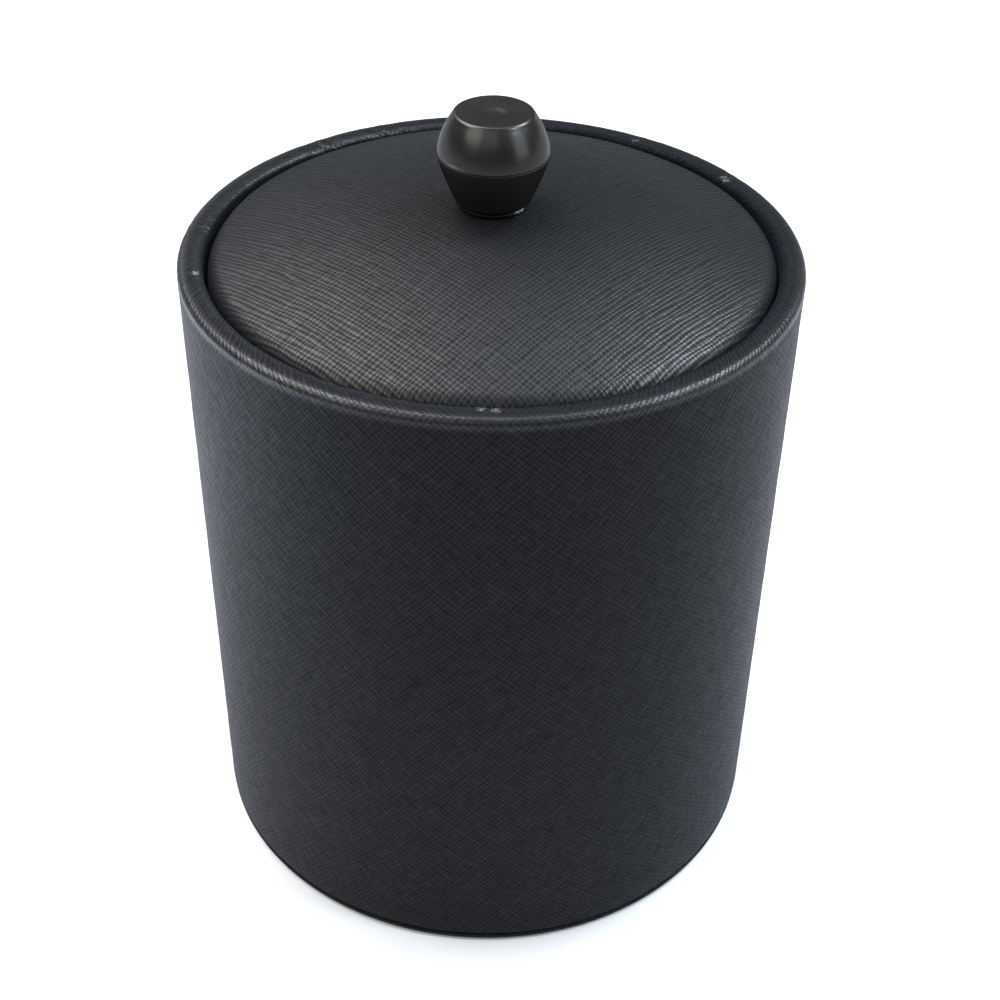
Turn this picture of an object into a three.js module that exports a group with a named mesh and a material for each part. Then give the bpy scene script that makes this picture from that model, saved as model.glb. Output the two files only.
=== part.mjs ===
// Ice bucket with a leatherette wrap, a lift-out liner and a padded lift-off lid.
// Millimetres, +Z up. The origin is the middle of the underside, on the table.
// Every piece is turned about Z, so each one is a closed profile of (radius, height)
// points, drawn anticlockwise with the axis on its left, and spun by LatheGeometry.
import * as THREE from 'three';

// ---- Driving dimensions ----------------------------------------------------
const BODY_RADIUS = 95;           // outside of the wrapped body
const RIM_Z = 210.7;              // top of the wrapped rim
const RECESS_RADIUS = 87.5;       // inside of the rim, where the lid sinks in
const RIM_OUTER_ROUND = 2.85;
const RIM_INNER_ROUND = 2;
const LEATHER = 0.9;              // thickness of the leatherette
const GAP = 0.3;                  // clearance left between pieces that touch
const RING_SEGMENTS = 48;         // sides of the large rings
const KNOB_SEGMENTS = 24;         // sides of the knob and its fixings

// ---- Base ------------------------------------------------------------------
const PAD_RADIUS = 90;
const PAD_TOP = 0.7;
const PLATE_RADIUS = 94.8;
const PLATE_BOTTOM = PAD_TOP + GAP;
const PLATE_TOP = PLATE_BOTTOM + 1.8;
const HEM_BOTTOM = PLATE_TOP + GAP;
const HEM_INNER_RADIUS = 80;
const SHELL_BOTTOM = HEM_BOTTOM + LEATHER + GAP;
const BASE_BOARD_THICKNESS = 6;
const BASE_BOARD_TOP = SHELL_BOTTOM + BASE_BOARD_THICKNESS;

// ---- Walls -----------------------------------------------------------------
const SHELL_RADIUS = BODY_RADIUS - LEATHER - GAP;
const SHELL_WALL = 3;
const CORE_RADIUS = SHELL_RADIUS - SHELL_WALL - GAP;   // of all that sits in the shell
const INNER_SHELL_RADIUS = 83;
const INNER_SHELL_WALL = 2;
const FLANGE_TOP = RIM_Z - 9.2;
const FLANGE_THICKNESS = 1.6;
const LEDGE_TOP = FLANGE_TOP - FLANGE_THICKNESS - GAP;
const LEDGE_HEIGHT = 8;
const LEDGE_INNER_RADIUS = 80.6;

// ---- Liner -----------------------------------------------------------------
const LINER_WALL = 1.6;
const LINER_TOP_RADIUS = 79.4;    // outside, under the flange
const LINER_FOOT_RADIUS = 75;     // outside, above the corner
const LINER_CORNER = 11.6;
const FLANGE_RADIUS = RECESS_RADIUS - 0.6;
const DISC_BOTTOM = BASE_BOARD_TOP + GAP;
const DISC_TOP = DISC_BOTTOM + 9;
const LINER_BOTTOM = DISC_TOP + 0.8;

// ---- Lid -------------------------------------------------------------------
const LID_RADIUS = 86;
const DOME_RADIUS = 254;
const DOME_RISE = 14.4;           // of the dome's crown above the rim
const LID_EDGE_ROUND = 6;
const LID_BOTTOM = FLANGE_TOP + GAP;
const LID_HEM_RADIUS = 72;
const LID_BOARD_BOTTOM = LID_BOTTOM + LEATHER + GAP;
const LID_BOARD_TOP = LID_BOARD_BOTTOM + 4.1;
const LID_BOARD_RADIUS = 84.4;
const PLUG_RADIUS = 75.2;
const PLUG_TOP = LID_BOTTOM - GAP;
const PLUG_BOTTOM = PLUG_TOP - 5;
const SCREW_HOLE = 2.6;

// ---- Knob ------------------------------------------------------------------
const CROWN_Z = RIM_Z + 14.2;     // the dome's crown, pressed flat under the knob
const WASHER_BOTTOM = CROWN_Z + GAP;
const WASHER_TOP = WASHER_BOTTOM + 1;
const KNOB_BOTTOM = WASHER_TOP + GAP;
const KNOB_FOOT_RADIUS = 10.4;
const KNOB_RADIUS = 16.75;
const KNOB_SEAM_Z = RIM_Z + 30.6;
const KNOB_TOP_Z = RIM_Z + 43.4;
const KNOB_FACE_RADIUS = 11.4;
const SPIGOT_RADIUS = 12;
const SPIGOT_HEIGHT = 5;
const INSERT_RADIUS = 4.7;
const INSERT_HEIGHT = 11;
const SCREW_RADIUS = 2;
const SCREW_HEAD_RADIUS = 4;
const SCREW_HEAD_HEIGHT = 2.4;

// ---- Materials -------------------------------------------------------------
function finish(color, roughness, metalness = 0) {
  return () => new THREE.MeshStandardMaterial({ color, roughness, metalness });
}
const leatherette = finish(0x1d1f22, 0.5);
const board = finish(0x9a7b55, 0.9);
const innerBoard = finish(0x202124, 0.85);
const foam = finish(0xe6e4dc, 0.95);
const darkFoam = finish(0x26272a, 0.95);
const felt = finish(0x16171a, 0.98);
const linerPlastic = finish(0x1b1c1e, 0.35);
const knobGloss = finish(0x2a2b2e, 0.25);
const knobMatt = finish(0x141516, 0.6);
const steel = finish(0xb8babd, 0.35, 1);
const brass = finish(0xb08d4c, 0.35, 1);

// ---- Profiles --------------------------------------------------------------
const point = (radius, height) => new THREE.Vector2(radius, height);
const degrees = THREE.MathUtils.degToRad;

// Points of an arc about (radius, height), its ends included.
function arc(radius, height, size, from, to, steps) {
  const points = [];
  for (let i = 0; i <= steps; i += 1) {
    const angle = degrees(from + ((to - from) * i) / steps);
    points.push(point(radius + size * Math.cos(angle), height + size * Math.sin(angle)));
  }
  return points;
}

// A rectangular ring, or a disc where inner is 0.
function ring(inner, outer, bottom, top) {
  return [point(inner, bottom), point(outer, bottom), point(outer, top), point(inner, top)];
}

function spin(name, profile, makeMaterial, segments = RING_SEGMENTS) {
  const onAxis = profile[0].x === 0 && profile[profile.length - 1].x === 0;
  const outline = onAxis ? profile : [...profile, profile[0].clone()];
  const geometry = new THREE.LatheGeometry(outline, segments);
  geometry.rotateX(Math.PI / 2);
  const mesh = new THREE.Mesh(geometry, makeMaterial());
  mesh.name = name;
  return mesh;
}

// ---- Base pieces -----------------------------------------------------------
const basePad = spin('base_pad', ring(0, PAD_RADIUS, 0, PAD_TOP), felt);

function basePlateProfile() {
  const round = 0.5;
  return [
    point(0, PLATE_BOTTOM),
    ...arc(PLATE_RADIUS - round, PLATE_BOTTOM + round, round, -90, 0, 2),
    ...arc(PLATE_RADIUS - round, PLATE_TOP - round, round, 0, 90, 2),
    point(0, PLATE_TOP),
  ];
}
const basePlate = spin('base_plate', basePlateProfile(), leatherette);
const baseBoard = spin('base_board', ring(0, CORE_RADIUS, SHELL_BOTTOM, BASE_BOARD_TOP), board);

// ---- Wall pieces -----------------------------------------------------------
const outerShell = spin(
  'outer_shell',
  ring(SHELL_RADIUS - SHELL_WALL, SHELL_RADIUS, SHELL_BOTTOM, LEDGE_TOP),
  board,
);
const ledgeBottom = LEDGE_TOP - LEDGE_HEIGHT;
const innerShell = spin(
  'inner_shell',
  ring(INNER_SHELL_RADIUS - INNER_SHELL_WALL, INNER_SHELL_RADIUS, DISC_BOTTOM, ledgeBottom - GAP),
  innerBoard,
);

// One sheet: hemmed under the shell, up the side, over the rim and down into the recess.
function sideCoverProfile() {
  const outerCentre = BODY_RADIUS - RIM_OUTER_ROUND;
  const innerCentre = RECESS_RADIUS + RIM_INNER_ROUND;
  const footRound = 1.2;
  const recessEnd = LEDGE_TOP + GAP;
  return [
    point(HEM_INNER_RADIUS, HEM_BOTTOM),
    ...arc(BODY_RADIUS - footRound, HEM_BOTTOM + footRound, footRound, -90, 0, 3),
    ...arc(outerCentre, RIM_Z - RIM_OUTER_ROUND, RIM_OUTER_ROUND, 0, 90, 5),
    ...arc(innerCentre, RIM_Z - RIM_INNER_ROUND, RIM_INNER_ROUND, 90, 180, 4),
    point(RECESS_RADIUS, recessEnd),
    point(RECESS_RADIUS + LEATHER, recessEnd),
    ...arc(innerCentre, RIM_Z - RIM_INNER_ROUND, RIM_INNER_ROUND - LEATHER, 180, 90, 3),
    ...arc(outerCentre, RIM_Z - RIM_OUTER_ROUND, RIM_OUTER_ROUND - LEATHER, 90, 0, 4),
    point(BODY_RADIUS - LEATHER, HEM_BOTTOM + LEATHER),
    point(HEM_INNER_RADIUS, HEM_BOTTOM + LEATHER),
  ];
}
const sideCover = spin('side_cover', sideCoverProfile(), leatherette);

function rimRingProfile() {
  const skin = LEATHER + GAP;
  const outerRound = RIM_OUTER_ROUND - skin;
  const innerRound = RIM_INNER_ROUND - skin;
  const outer = BODY_RADIUS - skin;
  const inner = RECESS_RADIUS + skin;
  const top = RIM_Z - skin;
  return [
    point(inner, LEDGE_TOP + GAP),
    point(outer, LEDGE_TOP + GAP),
    ...arc(outer - outerRound, top - outerRound, outerRound, 0, 90, 3),
    ...arc(inner + innerRound, top - innerRound, innerRound, 90, 180, 2),
  ];
}
const rimRing = spin('rim_ring', rimRingProfile(), board);
const ledgeRing = spin(
  'ledge_ring',
  ring(LEDGE_INNER_RADIUS, CORE_RADIUS, ledgeBottom, LEDGE_TOP),
  innerBoard,
);

// ---- Insulation ------------------------------------------------------------
const insulationSleeve = spin(
  'insulation_sleeve',
  ring(INNER_SHELL_RADIUS + GAP, CORE_RADIUS, DISC_BOTTOM, ledgeBottom - GAP),
  foam,
);
const insulationDisc = spin(
  'insulation_disc',
  ring(0, INNER_SHELL_RADIUS - INNER_SHELL_WALL - GAP, DISC_BOTTOM, DISC_TOP),
  darkFoam,
);

// ---- Liner -----------------------------------------------------------------
function linerProfile() {
  const innerCorner = LINER_CORNER - LINER_WALL;
  const cornerRadius = LINER_FOOT_RADIUS - LINER_CORNER;
  const cornerHeight = LINER_BOTTOM + LINER_CORNER;
  const lipRound = 1.6;
  const lipCentre = LINER_TOP_RADIUS - LINER_WALL + lipRound;
  const edgeRound = FLANGE_THICKNESS / 2;
  return [
    point(0, LINER_BOTTOM),
    ...arc(cornerRadius, cornerHeight, LINER_CORNER, -90, 0, 4),
    point(LINER_TOP_RADIUS, FLANGE_TOP - FLANGE_THICKNESS),
    ...arc(FLANGE_RADIUS - edgeRound, FLANGE_TOP - edgeRound, edgeRound, -90, 90, 4),
    ...arc(lipCentre, FLANGE_TOP - lipRound, lipRound, 90, 180, 3),
    ...arc(cornerRadius, cornerHeight, innerCorner, 0, -90, 4),
    point(0, LINER_BOTTOM + LINER_WALL),
  ];
}
const liner = spin('liner', linerProfile(), linerPlastic);

// ---- Lid -------------------------------------------------------------------
const domeCentreZ = RIM_Z + DOME_RISE - DOME_RADIUS;

// The dome and its rolled edge, from the rim's side up to the screw hole. Depth is how far
// the surface lies under the leatherette's outside.
function domeOutline(depth, innerRadius, steps) {
  const sphere = DOME_RADIUS - depth;
  const roll = LID_EDGE_ROUND - depth;
  const rollRadius = LID_RADIUS - LID_EDGE_ROUND;
  const tilt = Math.asin(rollRadius / (DOME_RADIUS - LID_EDGE_ROUND));
  const rollZ = domeCentreZ + (DOME_RADIUS - LID_EDGE_ROUND) * Math.cos(tilt);
  const edge = arc(rollRadius, rollZ, roll, 0, 90 - THREE.MathUtils.radToDeg(tilt), 3);
  const dome = [];
  const start = edge[edge.length - 1].x;
  for (let i = 1; i <= steps; i += 1) {
    const radius = start + ((innerRadius - start) * i) / steps;
    const height = domeCentreZ + Math.sqrt(sphere ** 2 - radius ** 2);
    dome.push(point(radius, Math.min(height, CROWN_Z - depth)));
  }
  return [...edge, ...dome];
}

function lidCoverProfile() {
  const footRound = 1.2;
  return [
    point(LID_HEM_RADIUS, LID_BOTTOM),
    ...arc(LID_RADIUS - footRound, LID_BOTTOM + footRound, footRound, -90, 0, 2),
    ...domeOutline(0, SCREW_HOLE, 5),
    ...domeOutline(LEATHER, SCREW_HOLE, 5).reverse(),
    point(LID_RADIUS - LEATHER, LID_BOTTOM + LEATHER),
    point(LID_HEM_RADIUS, LID_BOTTOM + LEATHER),
  ];
}
const lidCover = spin('lid_cover', lidCoverProfile(), leatherette);

function lidPaddingProfile() {
  const bottom = LID_BOARD_TOP + GAP;
  const top = domeOutline(LEATHER + GAP, SCREW_HOLE, 4).filter((p) => p.y > bottom + GAP);
  return [point(SCREW_HOLE, bottom), point(LID_BOARD_RADIUS, bottom), ...top];
}
const lidPadding = spin('lid_padding', lidPaddingProfile(), foam);
const lidBoard = spin(
  'lid_board',
  ring(SCREW_HOLE, LID_BOARD_RADIUS, LID_BOARD_BOTTOM, LID_BOARD_TOP),
  board,
);

// A disc under the lid that drops into the liner's mouth. Its pocket hides the screw's head.
function plugProfile() {
  const pocketRadius = 7;
  const pocketTop = PLUG_TOP;
  const pocketDepth = 3.4;
  return [
    point(0, PLUG_BOTTOM),
    point(PLUG_RADIUS, PLUG_BOTTOM),
    point(PLUG_RADIUS, pocketTop),
    point(pocketRadius, pocketTop),
    point(pocketRadius, pocketTop - pocketDepth),
    point(0, pocketTop - pocketDepth),
  ];
}
const lidPlug = spin('lid_plug', plugProfile(), board);

function plugCoverProfile() {
  const inner = PLUG_RADIUS + GAP;
  const outer = inner + LEATHER;
  const top = PLUG_BOTTOM - GAP;
  const bottom = top - LEATHER;
  const round = 2;
  return [
    point(0, bottom),
    ...arc(outer - round, bottom + round, round, -90, 0, 3),
    point(outer, PLUG_TOP),
    point(inner, PLUG_TOP),
    point(inner, top),
    point(0, top),
  ];
}
const plugCover = spin('plug_cover', plugCoverProfile(), leatherette);

// ---- Knob ------------------------------------------------------------------
const knobPiece = (name, profile, material) => spin(name, profile, material, KNOB_SEGMENTS);
const boreRadius = INSERT_RADIUS + GAP;
const insertTop = KNOB_BOTTOM + INSERT_HEIGHT;
const spigotTop = KNOB_SEAM_Z + SPIGOT_HEIGHT;

// The barrel-shaped upper half, which sits on the lower half's spigot.
function knobCapProfile() {
  const edgeRound = 1.1;
  const dimpleRadius = 3.6;
  const dimpleDepth = 0.9;
  const dish = 0.4;
  const barrel = new THREE.QuadraticBezierCurve(
    point(KNOB_RADIUS, KNOB_SEAM_Z + GAP + edgeRound),
    point(KNOB_RADIUS - 0.5, KNOB_SEAM_Z + 8),
    point(KNOB_FACE_RADIUS + 0.6, KNOB_TOP_Z - 0.7),
  );
  return [
    point(0, spigotTop + GAP),
    point(SPIGOT_RADIUS + GAP, spigotTop + GAP),
    point(SPIGOT_RADIUS + GAP, KNOB_SEAM_Z + GAP),
    ...arc(KNOB_RADIUS - edgeRound, KNOB_SEAM_Z + GAP + edgeRound, edgeRound, -90, 0, 2),
    ...barrel.getPoints(6).slice(1),
    point(KNOB_FACE_RADIUS, KNOB_TOP_Z),
    point(dimpleRadius, KNOB_TOP_Z - dish),
    point(0, KNOB_TOP_Z - dimpleDepth),
  ];
}

// The lower half tapers to the foot. Its blind bore holds the threaded insert.
function knobBaseProfile() {
  const footRound = 1.4;
  return [
    point(0, insertTop + GAP),
    point(boreRadius, insertTop + GAP),
    point(boreRadius, KNOB_BOTTOM),
    ...arc(KNOB_FOOT_RADIUS - 0.2, KNOB_BOTTOM + footRound, footRound, -90, -10, 3),
    point(KNOB_RADIUS - 0.2, KNOB_SEAM_Z - 0.6),
    point(KNOB_RADIUS - 0.7, KNOB_SEAM_Z),
    point(SPIGOT_RADIUS, KNOB_SEAM_Z),
    point(SPIGOT_RADIUS, spigotTop),
    point(0, spigotTop),
  ];
}

const knobCap = knobPiece('knob_cap', knobCapProfile(), knobGloss);
const knobBase = knobPiece('knob_base', knobBaseProfile(), knobMatt);
const knobWasher = knobPiece(
  'knob_washer',
  ring(SCREW_HOLE, KNOB_FOOT_RADIUS + 0.2, WASHER_BOTTOM, WASHER_TOP),
  steel,
);
const knobInsert = knobPiece(
  'knob_insert',
  ring(SCREW_RADIUS + GAP, INSERT_RADIUS, KNOB_BOTTOM, insertTop),
  brass,
);

const screwWasherTop = LID_BOARD_BOTTOM - GAP;
const screwWasherBottom = screwWasherTop - 0.8;
const screwWasher = knobPiece(
  'screw_washer',
  ring(SCREW_RADIUS + GAP, SCREW_HEAD_RADIUS + 1, screwWasherBottom, screwWasherTop),
  steel,
);

// A pan-head machine screw with a drive recess, pointing up into the insert.
function screwProfile() {
  const headTop = screwWasherBottom - GAP;
  const headBottom = headTop - SCREW_HEAD_HEIGHT;
  const driveRadius = 1.3;
  const driveDepth = 1.4;
  const tip = insertTop - 1;
  return [
    point(0, headBottom + driveDepth),
    point(driveRadius, headBottom),
    ...arc(SCREW_HEAD_RADIUS - 0.8, headBottom + 0.8, 0.8, -90, 0, 2),
    point(SCREW_HEAD_RADIUS, headTop),
    point(SCREW_RADIUS, headTop),
    point(SCREW_RADIUS, tip - 0.8),
    point(SCREW_RADIUS - 0.8, tip),
    point(0, tip),
  ];
}
const knobScrew = knobPiece('knob_screw', screwProfile(), steel);

// ---- Assembly --------------------------------------------------------------
const knob = new THREE.Group();
knob.add(knobWasher, knobBase, knobCap, knobInsert, knobScrew, screwWasher);

const lid = new THREE.Group();
lid.add(lidCover, lidPadding, lidBoard, lidPlug, plugCover, knob);

const body = new THREE.Group();
body.add(
  basePad, basePlate, baseBoard, outerShell, innerShell, sideCover, rimRing, ledgeRing,
  insulationSleeve, insulationDisc,
);

const iceBucket = new THREE.Group();
iceBucket.add(body, liner, lid);
export default iceBucket;
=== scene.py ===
"""Looks of a leatherette ice bucket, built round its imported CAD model. Metres, +Z up."""
import math

import bpy
import numpy as np
from mathutils import Matrix, Vector


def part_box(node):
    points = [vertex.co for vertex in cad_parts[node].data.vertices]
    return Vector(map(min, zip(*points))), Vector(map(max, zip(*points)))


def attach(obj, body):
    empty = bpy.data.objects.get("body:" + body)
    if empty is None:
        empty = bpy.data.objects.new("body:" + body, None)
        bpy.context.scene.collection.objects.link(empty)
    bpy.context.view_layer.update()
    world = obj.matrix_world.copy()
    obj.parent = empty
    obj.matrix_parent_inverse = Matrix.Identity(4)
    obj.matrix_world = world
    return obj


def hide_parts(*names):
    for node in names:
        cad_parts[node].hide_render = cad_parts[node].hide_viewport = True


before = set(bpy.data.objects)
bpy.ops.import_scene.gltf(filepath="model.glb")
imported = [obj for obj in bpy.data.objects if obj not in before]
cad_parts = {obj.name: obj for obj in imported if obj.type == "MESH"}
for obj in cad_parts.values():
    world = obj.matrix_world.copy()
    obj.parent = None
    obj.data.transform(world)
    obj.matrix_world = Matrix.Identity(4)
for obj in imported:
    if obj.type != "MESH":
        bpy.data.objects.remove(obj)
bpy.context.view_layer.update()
MM = 0.001

# ---- Sizes, from the frame ---------------------------------------------------
LID_SWELL = 0.4 * MM        # the padding swells the lid's edge
KNOB_SWELL = 0.15 * MM      # the knob stands out at its parting line
BODY_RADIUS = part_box("side_cover")[1].x
HEM_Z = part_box("side_cover")[0].z
RIM_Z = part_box("side_cover")[1].z
LID_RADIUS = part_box("lid_cover")[1].x + LID_SWELL
LID_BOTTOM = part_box("lid_cover")[0].z
CROWN_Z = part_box("lid_cover")[1].z
LEDGE_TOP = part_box("ledge_ring")[1].z
SEAM_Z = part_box("knob_cap")[0].z
KNOB_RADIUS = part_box("knob_cap")[1].x + KNOB_SWELL
KNOB_TOP_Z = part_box("knob_cap")[1].z
KNOB_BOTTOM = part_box("knob_base")[0].z
SPIGOT_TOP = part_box("knob_base")[1].z
INSERT_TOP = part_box("knob_insert")[1].z

# ---- Sizes that the frame's boxes don't give ---------------------------------
LEATHER = 0.9 * MM
GAP = 0.3 * MM
RECESS_RADIUS = 87.2 * MM
RIM_OUTER_ROUND = 2.2 * MM
RIM_INNER_ROUND = 1.9 * MM
HEM_INNER_RADIUS = 80 * MM
HEM_ROUND = 1.2 * MM
OUTER_SHELL_BORE = 90.8 * MM
INNER_SHELL_BORE = 81 * MM
LEDGE_BORE = 80.6 * MM
SLEEVE_BORE = 83.3 * MM
DOME_RADIUS = 254 * MM
DOME_RISE = 14.4 * MM
DOME_CENTRE_Z = RIM_Z + DOME_RISE - DOME_RADIUS
LID_EDGE_ROUND = 6 * MM
LID_HEM_RADIUS = 72 * MM
SCREW_HOLE = 2.6 * MM
SPIGOT_RADIUS = 12 * MM
KNOB_FACE_RADIUS = 11.4 * MM
KNOB_FOOT_RADIUS = 10.3 * MM
INSERT_BORE = 2.3 * MM
BEVEL = 0.4 * MM            # on most cut edges
COARSE = 12 * MM            # the longest stretch of a plain piece's mesh
ON_AXIS = 1e-9              # a radius below this is on the axis
BACK = math.pi / 2          # the azimuth of the wrap's seam, away from the camera


# ---- Turned meshes -----------------------------------------------------------
def arc(radius, height, size, start, end, steps):
    """Points of an arc about (radius, height), angles in degrees, ends included."""
    angles = np.radians(np.linspace(start, end, steps + 1))
    return [(radius + size * math.cos(a), height + size * math.sin(a)) for a in angles]


def curve(start, control, end, steps):
    """Points of a quadratic curve, ends included."""
    a, b, c = Vector(start), Vector(control), Vector(end)
    ts = [k / steps for k in range(steps + 1)]
    return [tuple(a * (1 - t) ** 2 + b * 2 * t * (1 - t) + c * t ** 2) for t in ts]


def fine(profile, step, closed=True):
    """The profile with points put in, so that no stretch is longer than step."""
    ends = profile[1:] + profile[:1] if closed else profile[1:]
    out = []
    for (r0, z0), (r1, z1) in zip(profile, ends):
        count = max(1, math.ceil(math.hypot(r1 - r0, z1 - z0) / step))
        for i in range(count):
            out.append((r0 + (r1 - r0) * i / count, z0 + (z1 - z0) * i / count))
    return out if closed else out + [profile[-1]]


def eased(profile, bevel, steps=3):
    """A closed profile with each corner that is off the axis replaced by a small curve."""
    points = [Vector(p) for p in profile]
    most = 0.45             # of the shorter neighbouring side
    out = []
    for i, corner in enumerate(points):
        if corner.x < ON_AXIS:
            out.append(tuple(corner))
            continue
        before, after = points[i - 1] - corner, points[(i + 1) % len(points)] - corner
        size = min(bevel, before.length * most, after.length * most)
        start, end = corner + before.normalized() * size, corner + after.normalized() * size
        out += curve(start, corner, end, steps)
    return out


def ring(inner, outer, bottom, top):
    """The closed profile of a plain ring."""
    return [(inner, bottom), (outer, bottom), (outer, top), (inner, top)]


def solid_disc(low, high):
    """The open profile of a plain disc."""
    return [(0, low.z), (high.x, low.z), (high.x, high.z), (0, high.z)]


def turned_faces(points, angles, closed, planar):
    """The faces between neighbouring profiles, and the UVs of their corners."""
    rows, count = len(points), len(angles)
    along = np.cumsum(np.hypot(*np.diff(points, axis=0, prepend=points[:1]).T))
    index = np.arange(count * rows).reshape(count, rows)
    pole = points[:, 0] < ON_AXIS
    index[:, pole] = index[0, pole]
    turned = angles - angles[0]
    ends_on_axis = points[0][0] > points[-1][0]
    faces, uvs = [], []
    for i in range(count):
        k = (i + 1) % count
        next_turn = turned[k] if k else 2 * math.pi
        for j in range(rows if closed else rows - 1):
            m = (j + 1) % rows
            next_along = along[m] if m else along[j] + math.dist(points[j], points[m])
            corners = [(index[i, j], turned[i], along[j]), (index[k, j], next_turn, along[j]),
                       (index[k, m], next_turn, next_along), (index[i, m], turned[i], next_along)]
            kept = []
            for corner in corners:
                if not kept or corner[0] not in (kept[-1][0], kept[0][0]):
                    kept.append(corner)
            if len(kept) < 3:
                continue
            faces.append([c[0] for c in kept])
            for _, a, s in kept:
                reach = (along[-1] - s if ends_on_axis else s) / MM
                uvs += ([reach * math.cos(a + angles[0]), reach * math.sin(a + angles[0])]
                        if planar else [a * BODY_RADIUS / MM, s / MM])
    return faces, uvs


def turn(name, profile, angles, closed=True, planar=False, warp=None):
    """A body of revolution. Its UVs are in millimetres: round and along the profile, or
    planar from the axis. warp(azimuth, radius, height) gives new ones of the three."""
    if isinstance(angles, int):
        angles = BACK + np.arange(angles) * 2 * math.pi / angles
    points = np.array(profile)
    rows, count = len(points), len(angles)
    if not closed and points[0][0] > ON_AXIS:
        raise ValueError(f"{name}: an open profile starts on the axis")
    azimuth = np.repeat(angles[:, None], rows, 1)
    radius = np.repeat(points[None, :, 0], count, 0)
    height = np.repeat(points[None, :, 1], count, 0)
    if warp:
        azimuth, radius, height = warp(azimuth, radius, height)
    xyz = np.stack([radius * np.cos(azimuth), radius * np.sin(azimuth), height], -1)
    faces, uvs = turned_faces(points, angles, closed, planar)
    used = np.unique(np.concatenate([np.array(f) for f in faces]))
    new_index = np.full(count * rows, -1)
    new_index[used] = np.arange(len(used))
    mesh = bpy.data.meshes.new(name)
    mesh.from_pydata(xyz.reshape(-1, 3)[used].tolist(), [],
                     [[int(new_index[v]) for v in f] for f in faces])
    mesh.uv_layers.new(name="UVMap").data.foreach_set("uv", uvs)
    mesh.polygons.foreach_set("use_smooth", [True] * len(mesh.polygons))
    piece = bpy.data.objects.new(name, mesh)
    bpy.context.scene.collection.objects.link(piece)
    return piece


def dress(piece, body, node, material):
    """Gives a piece its material and puts it in place of its CAD node."""
    piece.data.materials.append(material)
    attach(piece, body)
    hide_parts(node)


# ---- Smooth random curves ----------------------------------------------------
def ripple(azimuth, waves, seed):
    """A smooth random curve round the axis, from about -1 to 1."""
    random = np.random.default_rng(seed)
    total = np.zeros_like(azimuth)
    for n in waves:
        total += random.normal() * np.sin(n * azimuth + random.uniform(0, 2 * math.pi))
    return total / math.sqrt(len(waves))


def smooth(x, low, high):
    """A soft step from 0 at low to 1 at high."""
    t = np.clip((x - low) / (high - low), 0, 1)
    return t * t * (3 - 2 * t)


# ---- Node helpers ------------------------------------------------------------
class Nodes:
    """Short calls for building one material's node tree."""

    def __init__(self, name):
        self.material = bpy.data.materials.new(name)
        self.material.use_nodes = True
        self.tree = self.material.node_tree
        self.shader = self.tree.nodes["Principled BSDF"]

    def put(self, socket, value):
        if isinstance(value, bpy.types.NodeSocket):
            self.tree.links.new(value, socket)
        else:
            socket.default_value = value

    def node(self, kind, inputs=(), **settings):
        made = self.tree.nodes.new(kind)
        for key, value in settings.items():
            setattr(made, key, value)
        for key, value in dict(inputs).items():
            self.put(made.inputs[key], value)
        return made

    def math(self, operation, *values):
        made = self.node("ShaderNodeMath", operation=operation)
        for socket, value in zip(made.inputs, values):
            self.put(socket, value)
        return made.outputs[0]

    def vector(self, x, y, z=0.0):
        return self.node("ShaderNodeCombineXYZ", {"X": x, "Y": y, "Z": z}).outputs[0]

    def split(self, vector):
        return self.node("ShaderNodeSeparateXYZ", {0: vector}).outputs

    def noise(self, vector, scale, detail=2.0, roughness=0.5, distortion=0.0):
        made = self.node("ShaderNodeTexNoise", {
            "Vector": vector, "Scale": scale, "Detail": detail,
            "Roughness": roughness, "Distortion": distortion})
        return made.outputs["Fac"]

    def span(self, value, low, high, to_low=0.0, to_high=1.0):
        """The value taken from the range low to high, and held within the other range."""
        made = self.node("ShaderNodeMapRange", {
            "Value": value, "From Min": low, "From Max": high,
            "To Min": to_low, "To Max": to_high}, clamp=True)
        return made.outputs[0]

    def mix(self, factor, a, b):
        made = self.node("ShaderNodeMix", data_type="RGBA")
        self.put(made.inputs["Factor"], factor)
        for socket, value in ((made.inputs[6], a), (made.inputs[7], b)):
            self.put(socket, (*value, 1.0) if isinstance(value, tuple) else value)
        return made.outputs[2]

    def bump(self, height, distance, strength, normal=None):
        made = self.node("ShaderNodeBump", {
            "Height": height, "Distance": distance, "Strength": strength})
        if normal is not None:
            self.put(made.inputs["Normal"], normal)
        return made.outputs[0]

    def uv(self):
        return self.node("ShaderNodeUVMap", uv_map="UVMap").outputs[0]

    def place(self):
        return self.node("ShaderNodeTexCoord").outputs["Object"]

    def reach(self, x, y):
        """The distance from the axis."""
        return self.math("SQRT", self.math("ADD", self.math("MULTIPLY", x, x),
                                           self.math("MULTIPLY", y, y)))

    def finish(self, **inputs):
        for key, value in inputs.items():
            self.put(self.shader.inputs[key.replace("_", " ")], value)
        return self.material


def darker(colour, share):
    return tuple(share * c for c in colour)


# ---- Leatherette -------------------------------------------------------------
HATCH = ((48, 1.40, 3.0), (-41, 1.38, 11.0))    # angle of the normal, pitch in mm, seed
BREAKS_SEED = 5             # added to a family's seed
LEAN_REACH = 75 * MM        # the roller bit deeper one way on one side than on the other
BITE_LEFT = (1.0, 0.45)     # how deep the two families are at the left
BITE_RIGHT = (0.45, 1.0)
WANDER = 1.9                # how far a line strays, in pitches
WANDER_SCALES = (0.30, 0.045)
JITTER = 1.6                # how far its breaks shift it, in pitches
BREAK_SCALES = (0.9, 0.22)
BREAK_SPAN = (0.32, 0.60)   # the noise values between which a line fades out
RIDGE_POWER = 0.7           # below 1 makes a ridge broader than its groove
LINE_HEIGHT = 0.33
NET_HEIGHT = 0.42
CROSSING_HEIGHT = 0.14
GRAIN_HEIGHT = 0.14
POLISH_GLOSS = 0.22
POLISH_ROUGHNESS = -0.12
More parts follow.
